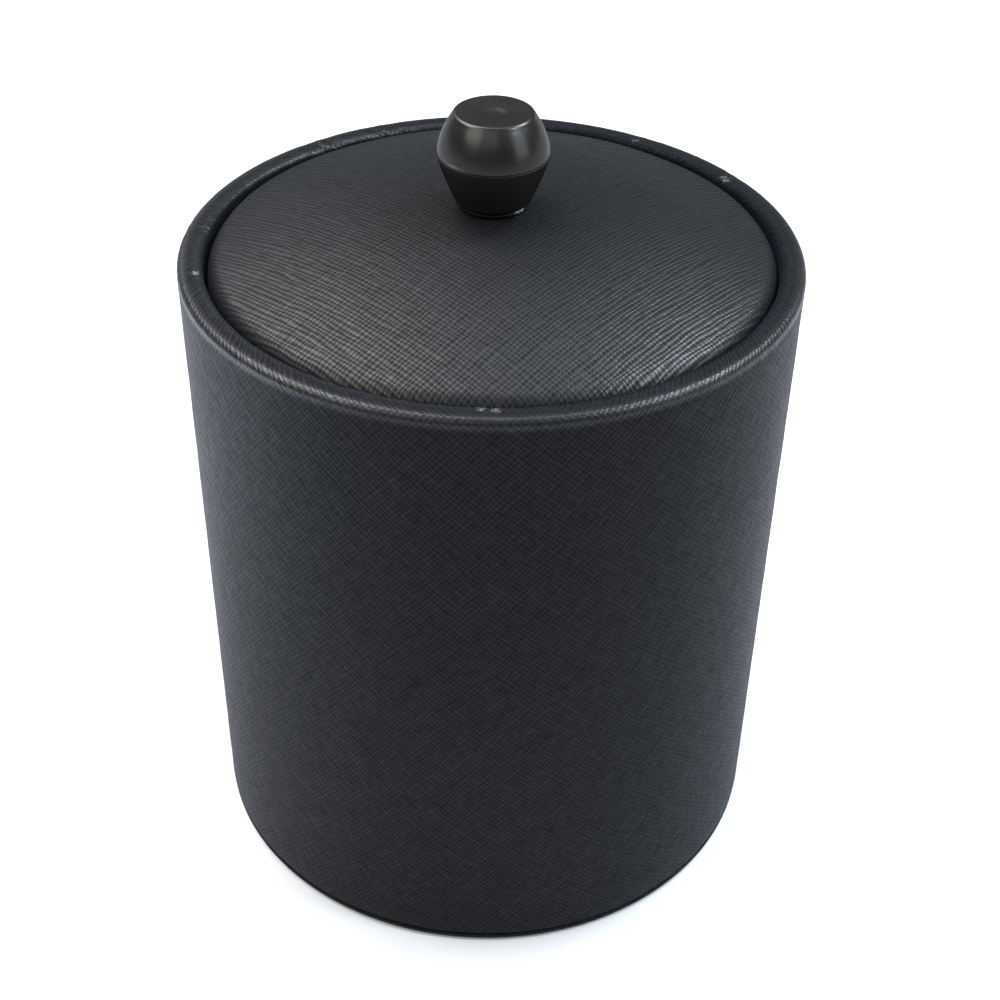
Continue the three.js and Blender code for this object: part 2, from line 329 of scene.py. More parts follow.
WORN_COLOUR = (0.22, 0.21, 0.20)
WORN_ROUGHNESS = 0.8
# The bright metal colour of the washer's painted glint.
GLINT_METAL = (0.7, 0.7, 0.7)
LINT_COLOUR = (0.09, 0.09, 0.10)
SHEEN_TINT = (0.50, 0.62, 1.0, 1.0)


def streaked(n, across, along, scales, seed, roughness):
    """Noise drawn out along the lines. scales are per mm, across and along."""
    place = n.vector(n.math("MULTIPLY", across, scales[0]),
                     n.math("MULTIPLY", along, scales[1]), seed)
    return n.noise(place, scale=1.0, detail=2.0, roughness=roughness)


def hatch_lines(n, u, v, angle, pitch, seed, broken):
    """One family of ridges: long, wavy lines whose spacing wanders. broken, 0 to 1, says
    how much they vary along their length."""
    c, s = math.cos(math.radians(angle)), math.sin(math.radians(angle))
    across = n.math("ADD", n.math("MULTIPLY", u, c), n.math("MULTIPLY", v, s))
    along = n.math("SUBTRACT", n.math("MULTIPLY", v, c), n.math("MULTIPLY", u, s))
    wander = streaked(n, across, along, WANDER_SCALES, seed, 0.6)
    breaks = streaked(n, across, along, BREAK_SCALES, seed + BREAKS_SEED, 0.7)
    shifted = n.math("MULTIPLY_ADD", wander, WANDER, n.math("DIVIDE", across, pitch))
    jittered = n.math("MULTIPLY_ADD", breaks, JITTER * broken, shifted)
    wave = n.math("COSINE", n.math("MULTIPLY", jittered, 2 * math.pi))
    ridge = n.math("MULTIPLY_ADD", wave, 0.5, 0.5)
    strength = n.span(breaks, *BREAK_SPAN, 1 - broken, 1.0)
    return n.math("MULTIPLY", n.math("POWER", ridge, RIDGE_POWER), strength)


def emboss(n, uv, broken, left):
    """The height of two crossed families of ridges, with small pits between them."""
    u, v, _ = n.split(uv)
    across = n.split(n.place())[0]
    bites = [n.span(across, -LEAN_REACH, LEAN_REACH, *ends) for ends in zip(left, BITE_RIGHT)]
    a, b = [n.math("MULTIPLY", hatch_lines(n, u, v, *family, broken), bite)
            for family, bite in zip(HATCH, bites)]
    pits = n.math("MULTIPLY", n.math("SUBTRACT", 1.0, a), n.math("SUBTRACT", 1.0, b))
    crossings = n.math("MULTIPLY", a, b)
    net = n.math("MULTIPLY_ADD", n.math("ADD", a, b), LINE_HEIGHT,
                 n.math("MULTIPLY", n.math("SUBTRACT", 1.0, pits), NET_HEIGHT))
    return n.math("MULTIPLY_ADD", crossings, CROSSING_HEIGHT, net)


def leatherette(name, dark, light, depth, rough=(0.40, 0.62), specular=0.13, sheen=0.05,
                hollow_gloss=0.25, broken=0.25, left=BITE_LEFT, crisp=0.0, scuffs=(),
                handled=None):
    """Black cross-hatched leatherette. rough is the roughness of ridges and pits.
    handled(nodes) says where hands have polished it, from 0 to 1, and crisp how much
    deeper the emboss shows there."""
    n = Nodes(name)
    polish = handled(n) if handled else 0.0
    uv = n.uv()
    relief = emboss(n, uv, broken, left)
    raised = n.span(relief, 0.15, 0.88)
    grain = n.noise(uv, scale=3.2, detail=3.0, roughness=0.65)
    height = n.math("MULTIPLY_ADD", grain, GRAIN_HEIGHT, relief)
    broad = n.noise(n.place(), scale=22.0, detail=3.0)
    # Darker in the emboss's pits and grooves, lighter on its ridges: painted shade in the hollows,
    # varied at random by the broad noise.
    tone = n.math("MULTIPLY", raised, n.span(broad, 0.3, 0.7, 0.75, 1.0))
    colour = n.mix(tone, dark, light)
    roughness = n.math("ADD", n.span(relief, 0.3, 1.0, rough[1], rough[0]),
                       n.span(grain, 0.3, 0.7, -0.04, 0.05))
    for centre, size in scuffs:
        mark = scuff_and_glint_mark(n, centre, size)
        colour = n.mix(mark, colour, WORN_COLOUR)
        roughness = n.math("MAXIMUM", roughness, n.math("MULTIPLY", mark, WORN_ROUGHNESS))
    roughness = n.math("MULTIPLY_ADD", polish, POLISH_ROUGHNESS, roughness)
    # Less gloss in the pits and grooves: painted shade of the hollows' reflections.
    gloss = n.math("MULTIPLY", n.math("MULTIPLY_ADD", polish, POLISH_GLOSS, specular),
                   n.span(raised, 0.0, 1.0, hollow_gloss, 1.0))
    swell = n.bump(n.noise(n.place(), scale=60.0), 0.10 * MM, 0.5)
    embossing = n.bump(height, n.math("MULTIPLY_ADD", polish, crisp * depth, depth), 1.0, swell)
    return n.finish(Base_Color=colour, Roughness=roughness, Specular_IOR_Level=gloss,
                    Sheen_Weight=sheen, Sheen_Tint=SHEEN_TINT, Sheen_Roughness=0.35,
                    Normal=embossing)


def handled_rim(n):
    """Polished most along the outer edge, and along the inner edge on the left."""
    x, y, z = n.split(n.place())
    reach = n.reach(x, y)
    outer = n.span(reach, BODY_RADIUS - 3.4 * MM, BODY_RADIUS - 1.8 * MM, 0.1, 1.6)
    inner = n.span(reach, RECESS_RADIUS + 2.6 * MM, RECESS_RADIUS + 1.2 * MM)
    uneven = n.math("MULTIPLY", inner, n.span(x, -30 * MM, 30 * MM, 1.0, -0.5))
    top = n.span(z, RIM_Z - 4 * MM, RIM_Z - 1.5 * MM)
    return n.math("MULTIPLY", top, n.math("ADD", outer, uneven))


def handled_lid(n):
    """Polished most at the front, towards the edge."""
    x, y, _ = n.split(n.place())
    outward = n.span(n.reach(x, y), 20 * MM, LID_RADIUS, 0.2, 1.0)
    return n.math("MULTIPLY", outward, n.span(y, -25 * MM, 45 * MM, 1.0, 0.0))


def scuff_and_glint_mark(n, centre, size):
    """A small spot with a broken edge, about a point. On the rim it is a scuff; on the washer, a
    painted glint.
    """
    gap = n.node("ShaderNodeVectorMath", {0: n.place(), 1: centre}, operation="DISTANCE")
    close = n.span(gap.outputs["Value"], 0.3 * size, size, 1.0, 0.0)
    speckle = n.span(n.noise(n.place(), scale=1500.0, detail=3.0, roughness=0.7), 0.50, 0.58)
    return n.math("MULTIPLY", close, speckle)


def on_rim(azimuth, inward):
    """A point on the rim's top, azimuth in degrees clockwise from the back."""
    a = math.radians(azimuth)
    reach = BODY_RADIUS - inward
    return (reach * math.sin(a), reach * math.cos(a), RIM_Z)


# ---- Other materials ---------------------------------------------------------
def moulded(name, colour, rough, specular=0.5, streaks=0.0):
    """Moulded plastic with a faint texture, uneven gloss and optional turning streaks."""
    n = Nodes(name)
    place = n.place()
    fleck = n.noise(place, scale=900.0, detail=3.0, roughness=0.6)
    cloud = n.noise(place, scale=45.0, detail=3.0, roughness=0.6)
    x, y, z = n.split(place)
    drawn_out = n.vector(n.math("MULTIPLY", x, 0.15), n.math("MULTIPLY", y, 0.15), z)
    streak = n.noise(drawn_out, scale=1400.0)
    tone = n.mix(n.span(cloud, 0.3, 0.7), darker(colour, 0.72), colour)
    roughness = n.math("ADD", n.span(cloud, 0.25, 0.75, rough - 0.05, rough + 0.06),
                       n.math("MULTIPLY", n.math("SUBTRACT", streak, 0.5), streaks))
    facing = n.node("ShaderNodeLayerWeight", {"Blend": 0.5}).outputs["Facing"]
    gloss = n.span(facing, 0.40, 0.85, specular, 0.03 * specular)
    height = n.math("ADD", fleck, n.math("MULTIPLY", streak, streaks))
    return n.finish(Base_Color=tone, Roughness=roughness, Specular_IOR_Level=gloss,
                    Normal=n.bump(height, 0.02 * MM, 0.8))


def fibreboard(name, colour, rough=0.85):
    """Fibreboard: matted fibres in uneven patches."""
    n = Nodes(name)
    place = n.place()
    fibre = n.noise(place, scale=420.0, detail=5.0, roughness=0.75, distortion=1.5)
    blotch = n.noise(place, scale=40.0)
    light = n.math("MULTIPLY", n.span(fibre, 0.3, 0.7), n.span(blotch, 0.2, 0.8, 0.6, 1.0))
    tone = n.mix(light, darker(colour, 0.55), colour)
    return n.finish(Base_Color=tone, Roughness=rough, Specular_IOR_Level=0.25,
                    Normal=n.bump(fibre, 0.12 * MM, 0.7))


def foamed(name, colour, bead=2.6 * MM):
    """Rigid foam: fused beads with small pores between them."""
    n = Nodes(name)
    cells = n.node("ShaderNodeTexVoronoi", {"Vector": n.place(), "Scale": 1 / bead,
                                            "Smoothness": 0.4}, feature="SMOOTH_F1")
    edge = n.span(cells.outputs["Distance"], 0.15, 0.75)
    # Darker towards the edges of the beads: painted shade in the pores between them.
    tone = n.mix(edge, colour, darker(colour, 0.62))
    height = n.math("SUBTRACT", 1.0, edge)
    return n.finish(Base_Color=tone, Roughness=0.9, Specular_IOR_Level=0.2,
                    Normal=n.bump(height, 0.25 * MM, 0.8))


def felted(name, colour):
    """Short-nap felt: tangled fibres, some lint and a soft sheen."""
    n = Nodes(name)
    place = n.place()
    fibre = n.noise(place, scale=1100.0, detail=4.0, roughness=0.8, distortion=2.5)
    lint = n.span(n.noise(place, scale=2600.0), 0.62, 0.72)
    tone = n.mix(n.span(fibre, 0.35, 0.65), darker(colour, 0.5), colour)
    tone = n.mix(n.math("MULTIPLY", lint, 0.35), tone, LINT_COLOUR)
    return n.finish(Base_Color=tone, Roughness=0.97, Specular_IOR_Level=0.15,
                    Sheen_Weight=0.25, Normal=n.bump(fibre, 0.2 * MM, 1.0))


def metal(name, colour, rough, glint=None):
    """Turned metal with fine lines round the axis, dull patches and perhaps a spot of bright
    metal: a painted glint.
    """
    n = Nodes(name)
    x, y, z = n.split(n.place())
    cut = n.noise(n.vector(n.reach(x, y), z), scale=6000.0)
    patch = n.noise(n.place(), scale=300.0, detail=3.0, roughness=0.6)
    tone = n.mix(n.span(patch, 0.3, 0.7), darker(colour, 0.7), colour)
    roughness = n.span(patch, 0.3, 0.7, rough + 0.1, rough - 0.05)
    # A spot of bright metal colour: a painted glint.
    if glint:
        tone = n.mix(scuff_and_glint_mark(n, *glint), tone, GLINT_METAL)
    return n.finish(Base_Color=tone, Metallic=1.0, Roughness=roughness,
                    Normal=n.bump(cut, 0.01 * MM, 0.5))


# Worn spots on the rim: azimuth clockwise from the back in degrees, and mm from its outside.
SCUFFS = ((179.0, 5.2), (181.5, 6.0), (-102.5, 5.5), (58.5, 5.5), (57.0, 5.0), (32.5, 5.0))
SCUFF_SIZE = 1.6 * MM
# A spot of bright metal at the washer's front right: a painted glint.
WASHER_GLINT = ((8.2 * MM, -7.2 * MM, CROWN_Z + 1.2 * MM), 2.6 * MM)    # place, size

body_leather = leatherette(
    "body_leatherette", (0.0020, 0.0024, 0.0032), (0.0095, 0.0105, 0.0125), 0.060 * MM,
    specular=0.135, sheen=0.035, hollow_gloss=0.55, broken=0.5, crisp=0.6,
    scuffs=[(on_rim(azimuth, inward * MM), SCUFF_SIZE) for azimuth, inward in SCUFFS],
    handled=handled_rim)
lid_leather = leatherette(
    "lid_leatherette", (0.0035, 0.0040, 0.0045), (0.0080, 0.0085, 0.0095), 0.15 * MM,
    rough=(0.32, 0.66), specular=0.235, sheen=0.02, left=(0.80, 0.40), handled=handled_lid)
lining_leather = leatherette(
    "lining_leatherette", (0.0035, 0.0040, 0.0045), (0.0075, 0.0080, 0.0090), 0.10 * MM)
raw_board = fibreboard("raw_board", (0.42, 0.31, 0.19))
black_board = fibreboard("black_board", (0.022, 0.022, 0.024), rough=0.8)
white_foam = foamed("white_foam", (0.80, 0.79, 0.74))
dark_foam = foamed("dark_foam", (0.030, 0.030, 0.033), bead=1.2 * MM)
felt = felted("felt", (0.014, 0.014, 0.015))
liner_plastic = moulded("liner_plastic", (0.016, 0.016, 0.018), 0.34)
knob_gloss = moulded("knob_gloss", (0.0125, 0.0118, 0.0104), 0.26, specular=0.48, streaks=0.06)
knob_matt = moulded("knob_matt", (0.0085, 0.0085, 0.0080), 0.55, specular=0.30, streaks=0.05)
plated_steel = metal("plated_steel", (0.30, 0.30, 0.32), 0.34)
# The washer, with a painted glint at its front right.
dark_steel = metal("dark_steel", (0.022, 0.022, 0.024), 0.48, glint=WASHER_GLINT)
brass = metal("brass", (0.62, 0.45, 0.20), 0.34)

# ---- Body: wrap --------------------------------------------------------------
# Pleats where the wrap is folded over the rim: azimuth clockwise from the back in
# degrees, width and height in mm, and the way the fold lies.
PLEATS = ((-40, 4.2, 0.55, 1), (-24.5, 3.4, 0.40, -1), (33, 3.6, 0.35, 1), (58, 3.0, 0.40, -1),
          (-84, 3.0, 0.25, 1), (-103, 3.0, 0.25, 1), (128, 3.2, 0.25, -1), (-152, 3.4, 0.18, 1))
WRAP_ANGLES = 540
PLEAT_REACH = 2.4           # degrees each side of a pleat that have a finer mesh
PLEAT_ANGLES = 21
PLEAT_DROP = 0.8            # how much of a pleat's height the flat beside it drops by
PLEAT_TUCK = 0.45           # and how much of it the wall beside it goes in by
SLOW_DRIFT = 0.07 * MM      # the wall's waviness
QUICK_DRIFT = 0.05 * MM
SEAM_DEPTH = 0.35 * MM


def cover_angles():
    """Azimuths of the wrap's mesh: even, with more about each pleat and the seam."""
    angles = list(np.linspace(0, 2 * math.pi, WRAP_ANGLES, endpoint=False))
    spots = [-math.radians(pleat[0]) % (2 * math.pi) for pleat in PLEATS] + [0.0]
    for spot in spots:
        for offset in np.linspace(-PLEAT_REACH, PLEAT_REACH, PLEAT_ANGLES):
            angles.append((spot + math.radians(offset)) % (2 * math.pi))
    return BACK + np.unique(np.round(angles, 6))


def round_from(azimuth, centre):
    """The distance round the wall from an azimuth."""
    return ((azimuth - centre + math.pi) % (2 * math.pi) - math.pi) * BODY_RADIUS


def fold(azimuth, centre, width, way):
    """A fold's height across itself, 0 to 1: a slow rise and then a sharp fall."""
    across = round_from(azimuth, centre) / width * way
    return smooth(across, -1.0, -0.1) * (1 - smooth(across, -0.02, 0.16))


def near(azimuth, centre, width):
    """1 at a pleat, fading out within about two of its widths."""
    return 1 - smooth(np.abs(round_from(azimuth, centre)), 0.9 * width, 2.2 * width)


def side_warp(azimuth, radius, height):
    """Uneven glue and board under the wrap, gathers and pleats at the rim, a back seam."""
    on_top = smooth(height, RIM_Z - 7 * MM, RIM_Z - 1.5 * MM)
    inward = smooth(BODY_RADIUS - radius, 0.8 * MM, 5.5 * MM) * on_top
    wall = smooth(radius, BODY_RADIUS - 1.2 * MM, BODY_RADIUS - 0.9 * MM)
    drift = SLOW_DRIFT * ripple(azimuth + 9 * height, (2, 3, 5, 8, 11), 1)
    drift += QUICK_DRIFT * ripple(azimuth - 21 * height, (4, 7, 13), 2)
    radius = radius - np.abs(drift) * wall * (1 - on_top)
    gathers = ripple(azimuth, range(70, 190, 9), 3) * 0.10 * MM
    gathers += ripple(azimuth, range(24, 60, 7), 4) * 0.06 * MM
    height = height - np.abs(gathers) * inward
    radius = radius + np.abs(gathers) * inward * 0.5
    for place, width, rise, way in PLEATS:
        centre = BACK - math.radians(place)
        low = 1 - fold(azimuth, centre, width * MM, way)
        beside = near(azimuth, centre, width * MM)
        lean = smooth(height, RIM_Z - 6 * MM, RIM_Z - 0.5 * MM)
        height = height - rise * MM * PLEAT_DROP * low * beside * inward
        radius = radius - rise * MM * PLEAT_TUCK * low * beside * lean * (1 - inward)
    seam = np.abs(round_from(azimuth, BACK))
    radius = radius - SEAM_DEPTH * (1 - smooth(seam, 0.10 * MM, 0.55 * MM)) * wall
    return azimuth, radius, height


def side_cover():
    """The wrap: hemmed under, up the wall, over the rim and down into the recess, and back
    again on its inside."""
    outer, inner = BODY_RADIUS - RIM_OUTER_ROUND, RECESS_RADIUS + RIM_INNER_ROUND
    top_out, top_in = RIM_Z - RIM_OUTER_ROUND, RIM_Z - RIM_INNER_ROUND
    wall_foot, end = HEM_Z + HEM_ROUND, LEDGE_TOP + GAP
    profile = [(HEM_INNER_RADIUS, HEM_Z)]
    profile += arc(BODY_RADIUS - HEM_ROUND, wall_foot, HEM_ROUND, -90, 0, 6)
    profile += fine([(BODY_RADIUS, wall_foot), (BODY_RADIUS, top_out)], 7 * MM, False)[1:-1]
    profile += arc(outer, top_out, RIM_OUTER_ROUND, 0, 90, 12)
    profile += fine([(outer, RIM_Z), (inner, RIM_Z)], 0.5 * MM, False)[1:-1]
    profile += arc(inner, top_in, RIM_INNER_ROUND, 90, 180, 8)
    profile += fine([(RECESS_RADIUS, top_in), (RECESS_RADIUS, end)], 2 * MM, False)[1:]
    profile += [(RECESS_RADIUS + LEATHER, end)]
    profile += arc(inner, top_in, RIM_INNER_ROUND - LEATHER, 180, 90, 4)
    profile += arc(outer, top_out, RIM_OUTER_ROUND - LEATHER, 90, 0, 5)
    profile += [(BODY_RADIUS - LEATHER, HEM_Z + LEATHER), (HEM_INNER_RADIUS, HEM_Z + LEATHER)]
    piece = turn("side_cover_wrap", profile, cover_angles(), warp=side_warp)
    dress(piece, "body", "side_cover", body_leather)


# ---- Body: base --------------------------------------------------------------
def base_plate():
    profile = fine(eased(solid_disc(*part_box("base_plate")), 0.6 * MM, 5), 8 * MM, False)
    piece = turn("base_plate_cover", profile, 360, closed=False, planar=True)
    dress(piece, "body", "base_plate", body_leather)


def base_pad():
    low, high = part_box("base_pad")

    def ragged(azimuth, radius, height):
        edge = smooth(radius, 0.9 * high.x, high.x)
        nibbles = np.abs(ripple(azimuth, range(30, 90, 7), 5))
        return azimuth, radius - edge * 0.25 * MM * nibbles, height

    profile = fine(eased(solid_disc(low, high), 0.3 * MM), 6 * MM, False)
    piece = turn("base_pad_felt", profile, 360, closed=False, planar=True, warp=ragged)
    dress(piece, "body", "base_pad", felt)


def disc(node, body, material, bevel, angles):
    """A plain disc in place of a CAD node."""
    profile = fine(eased(solid_disc(*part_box(node)), bevel), COARSE, False)
    piece = turn(node + "_piece", profile, angles, closed=False, planar=True)
    dress(piece, body, node, material)


def collar(node, inner, body, material, bevel, angles, wider=0):
    """A plain ring in place of a CAD node."""
    low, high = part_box(node)
    profile = fine(eased(ring(inner, high.x + wider, low.z, high.z), bevel), COARSE)
    dress(turn(node + "_piece", profile, angles), body, node, material)


def rim_ring():
    low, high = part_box("rim_ring")
    skin = LEATHER + GAP
    inner, outer = RECESS_RADIUS + skin, BODY_RADIUS - skin
    outer_round, inner_round = RIM_OUTER_ROUND - skin, RIM_INNER_ROUND - skin
    profile = [(inner, low.z), (outer, low.z)]
    profile += arc(outer - outer_round, high.z - outer_round, outer_round, 0, 90, 6)
    profile += arc(inner + inner_round, high.z - inner_round, inner_round, 90, 180, 4)
    piece = turn("rim_ring_piece", fine(profile, 2 * MM), 180)
    dress(piece, "body", "rim_ring", raw_board)


side_cover()
base_plate()
base_pad()
disc("base_board", "body", raw_board, BEVEL, 128)
disc("insulation_disc", "body", dark_foam, 1.2 * MM, 160)
collar("outer_shell", OUTER_SHELL_BORE, "body", raw_board, 0.5 * MM, 180)
collar("inner_shell", INNER_SHELL_BORE, "body", black_board, BEVEL, 180)
collar("ledge_ring", LEDGE_BORE, "body", black_board, 0.8 * MM, 180)
collar("insulation_sleeve", SLEEVE_BORE, "body", white_foam, 0.8 * MM, 128)
rim_ring()


# ---- Liner -------------------------------------------------------------------
def liner():
    """A pot with a rolled flange, a round bottom corner, a raised ring and a gate mark."""
    low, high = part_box("liner")
    wall, corner, lip = 1.6 * MM, 11.6 * MM, 1.6 * MM
    top_radius, corner_radius = 79.4 * MM, 63.4 * MM
    corner_z, edge = low.z + corner, wall / 2
    ring_radius, ring_height = 58 * MM, 0.6 * MM
    floor_z, mark_z = low.z + wall, low.z + wall - 0.3 * MM
    profile = [(0, low.z), (corner_radius, low.z)]
    profile += arc(corner_radius, corner_z, corner, -90, 0, 12)[1:]
    profile += [(top_radius - 0.2 * MM, high.z - wall - 3 * MM), (top_radius, high.z - wall)]
    profile += arc(high.x - edge, high.z - edge, edge, -90, 90, 8)
    profile += arc(top_radius - wall + lip, high.z - lip, lip, 90, 180, 6)
    profile += arc(corner_radius, corner_z, corner - wall, 0, -90, 12)
    profile += [(ring_radius + 1.5 * MM, floor_z), (ring_radius + 0.5 * MM, floor_z + ring_height),
                (ring_radius - 0.5 * MM, floor_z + ring_height), (ring_radius - 1.5 * MM, floor_z)]
    profile += [(4.2 * MM, floor_z), (3.4 * MM, mark_z), (0, mark_z)]
    piece = turn("liner_pot", fine(profile, 10 * MM, False), 256, closed=False)
    dress(piece, "liner", "liner", liner_plastic)


liner()


# ---- Lid ---------------------------------------------------------------------
LID_SHIFT = 0.3 * MM        # the cover's edge stands out on the right and in on the left
SWELL_DEPTH = 0.12 * MM
PULL_DEPTH = 0.10 * MM
GATHER_HEIGHT = 0.16 * MM


def dome_outline(depth, inner_radius, step):
    """The lid's rolled edge and dome, at a depth under the leatherette's outside."""
    roll_radius = LID_RADIUS - LID_EDGE_ROUND
    tilt = math.asin(roll_radius / (DOME_RADIUS - LID_EDGE_ROUND))
    roll_z = DOME_CENTRE_Z + (DOME_RADIUS - LID_EDGE_ROUND) * math.cos(tilt)
    edge = arc(roll_radius, roll_z, LID_EDGE_ROUND - depth, 0, 90 - math.degrees(tilt), 12)
    count = math.ceil((edge[-1][0] - inner_radius) / step)
    dome = []
    for radius in np.linspace(edge[-1][0], inner_radius, count + 1)[1:]:
        height = DOME_CENTRE_Z + math.sqrt((DOME_RADIUS - depth) ** 2 - radius ** 2)
        dome.append((radius, min(height, CROWN_Z - depth)))
    return edge + dome


def lid_warp(azimuth, radius, height):
    """Soft unevenness of the padding, the pull of the knob and gathers in the hem."""
    on_top = smooth(height, RIM_Z - 7 * MM, RIM_Z - 1 * MM)
    radius = radius + LID_SHIFT * np.cos(azimuth) * smooth(radius, 70 * MM, LID_RADIUS)
    x, y = radius * np.cos(azimuth) / MM, radius * np.sin(azimuth) / MM
    swell = np.sin(x / 17 + 0.7) * np.sin(y / 21 + 1.9) + 0.6 * np.sin(x / 9 - y / 13)
    reach = smooth(radius, 14 * MM, 34 * MM)
    height = height - SWELL_DEPTH * (1 + swell) * on_top * reach
    pull = (1 - smooth(radius, 10 * MM, 17 * MM)) * smooth(radius, 4 * MM, 10 * MM)
    tucks = ripple(azimuth, (7, 9, 12, 16), 11)
    height = height - PULL_DEPTH * pull * (1.5 + tucks) * on_top
    hem = 1 - smooth(height, LID_BOTTOM + 0.2 * MM, LID_BOTTOM + 3 * MM)
    gathers = np.abs(ripple(azimuth, range(40, 130, 9), 12))
    inner = 1 - smooth(radius, LID_HEM_RADIUS + 2 * MM, LID_RADIUS)
    height = height + GATHER_HEIGHT * hem * gathers * inner
    return azimuth, radius, height


def plan_uvs(piece):
    """UVs as the sheet lay before it was stretched: the plan, spread along the slope."""
    mesh = piece.data
    uv = mesh.uv_layers["UVMap"].data
    low_z = RIM_Z - LID_EDGE_ROUND
    for loop in mesh.loops:
        x, y, z = mesh.vertices[loop.vertex_index].co
        drop = max(0.0, low_z - z)
        spread = 1 + drop / max(math.hypot(x, y), MM)
        uv[loop.index].uv = (x / MM * spread, y / MM * spread)


def lid_cover():
    """The lid's leatherette: hemmed under, round the rolled edge and over the dome, and
    back again on its inside."""
    turn_in = LID_RADIUS - HEM_ROUND
    profile = [(LID_HEM_RADIUS, LID_BOTTOM)]
    profile += fine([(LID_HEM_RADIUS, LID_BOTTOM), (turn_in, LID_BOTTOM)], 2 * MM, False)[1:-1]
    profile += arc(turn_in, LID_BOTTOM + HEM_ROUND, HEM_ROUND, -90, 0, 5)
    profile += dome_outline(0, SCREW_HOLE, 1.8 * MM)
    profile += dome_outline(LEATHER, SCREW_HOLE, 6 * MM)[::-1]
    inside = LID_BOTTOM + LEATHER
    profile += [(LID_RADIUS - LEATHER, inside), (LID_HEM_RADIUS, inside)]
    piece = turn("lid_cover_leather", profile, 420, planar=True, warp=lid_warp)
    plan_uvs(piece)
    dress(piece, "lid", "lid_cover", lid_leather)


def lid_padding():
    low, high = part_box("lid_padding")
    outline = dome_outline(LEATHER + GAP, SCREW_HOLE, 4 * MM)
    profile = [(SCREW_HOLE, low.z), (high.x, low.z)]
    profile += [(radius, height) for radius, height in outline if height > low.z + GAP]
    piece = turn("lid_padding_foam", fine(profile, 5 * MM), 180,
                 warp=lambda a, r, z: (a, r, lid_warp(a, r, z)[2]))
    dress(piece, "lid", "lid_padding", white_foam)


def lid_plug():
    """A disc with a pocket for the screw's head in its top."""
    low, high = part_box("lid_plug")
    pocket, floor_z = 7 * MM, high.z - 3.4 * MM
    profile = eased([(0, low.z), (high.x, low.z), (high.x, high.z), (pocket, high.z),
                     (pocket, floor_z), (0, floor_z)], BEVEL)
    piece = turn("lid_plug_board", fine(profile, 6 * MM, False), 160, closed=False, planar=True)
    dress(piece, "lid", "lid_plug", raw_board)


def plug_cover():
    """Leatherette round the plug, tucked up its side."""
    low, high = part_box("plug_cover")
    inner, edge_round = high.x - LEATHER, 2 * MM

    def tucked(azimuth, radius, height):
        side = smooth(radius, inner - 3 * MM, inner)
        gathers = np.abs(ripple(azimuth, range(50, 150, 9), 13))
        rise = smooth(height, low.z + 1 * MM, high.z)
        return azimuth, radius - 0.18 * MM * side * gathers * rise, height

    profile = [(0, low.z)] + arc(high.x - edge_round, low.z + edge_round, edge_round, -90, 0, 8)
    profile += fine([(high.x, low.z + edge_round), (high.x, high.z)], 1.2 * MM, False)[1:]
    profile += [(inner, high.z), (inner, low.z + LEATHER), (0, low.z + LEATHER)]
    piece = turn("plug_cover_leather", fine(profile, 5 * MM, False), 300, closed=False,
                 planar=True, warp=tucked)
    dress(piece, "lid", "plug_cover", lining_leather)


lid_cover()
lid_padding()
collar("lid_board", SCREW_HOLE, "lid", raw_board, 0.5 * MM, 160)
lid_plug()
plug_cover()


# ---- Knob --------------------------------------------------------------------
def knob_cap():
    """The upper half: a socket inside, a curved side, and a face dished in two steps."""
    edge, socket = 0.25 * MM, SPIGOT_RADIUS + GAP
    widest = (KNOB_RADIUS, SEAM_Z + edge)
    shoulder = (KNOB_FACE_RADIUS + 0.8 * MM, KNOB_TOP_Z - 0.9 * MM)
    face = (KNOB_FACE_RADIUS - 0.4 * MM, KNOB_TOP_Z)
    dish = (4.8 * MM, KNOB_TOP_Z - 0.45 * MM)
    dimple = (2.8 * MM, KNOB_TOP_Z - 0.80 * MM)
    middle = (0, KNOB_TOP_Z - 1.0 * MM)
    profile = [(0, SPIGOT_TOP + GAP), (socket, SPIGOT_TOP + GAP), (socket, SEAM_Z)]
    profile += arc(KNOB_RADIUS - edge, SEAM_Z + edge, edge, -90, 0, 5)
    for start, control, end, steps in (
            (widest, (KNOB_RADIUS - 1.0 * MM, SEAM_Z + 6.2 * MM), shoulder, 16),
            (shoulder, (KNOB_FACE_RADIUS + 0.4 * MM, KNOB_TOP_Z), face, 6),
            (face, (8 * MM, KNOB_TOP_Z - 0.2 * MM), dish, 8),
            (dish, (3.8 * MM, KNOB_TOP_Z - 0.5 * MM), dimple, 6),
            (dimple, (1.6 * MM, KNOB_TOP_Z - 1.05 * MM), middle, 6)):
        profile += curve(start, control, end, steps)[1:]
    piece = turn("knob_cap_shell", profile, 160, closed=False)
    dress(piece, "lid", "knob_cap", knob_gloss)


def knob_base():
    """The lower half: a bore for the insert, a tapering side, and a spigot on top."""
    bore, foot = 5.0 * MM, 1.4 * MM
    top = SEAM_Z - 0.05 * MM
    shoulder = KNOB_RADIUS - 0.02 * MM
    waist = (14.6 * MM, SEAM_Z - 8 * MM)
    profile = [(0, INSERT_TOP + GAP), (bore, INSERT_TOP + GAP), (bore, KNOB_BOTTOM)]
    profile += arc(KNOB_FOOT_RADIUS, KNOB_BOTTOM + foot, foot, -90, -10, 6)
    profile += curve(profile[-1], waist, (shoulder - 0.1 * MM, top - 0.6 * MM), 12)[1:]
    profile += [(shoulder, top - 0.3 * MM), (shoulder - 0.12 * MM, top - 0.1 * MM),
                (shoulder - 0.4 * MM, top)]
    profile += [(SPIGOT_RADIUS, top), (SPIGOT_RADIUS, SPIGOT_TOP), (0, SPIGOT_TOP)]
    piece = turn("knob_base_cone", profile, 160, closed=False)
    dress(piece, "lid", "knob_base", knob_matt)


def threaded(azimuth, height, pitch, low, high, depth):
    """How far a thread's groove cuts in, at a place on its cylinder."""
    turns = (height / pitch + azimuth / (2 * math.pi)) % 1.0
    groove = np.abs(turns - 0.5) * 2
    inside = smooth(height, low, low + pitch) * (1 - smooth(height, high - pitch, high))
    return depth * groove * inside


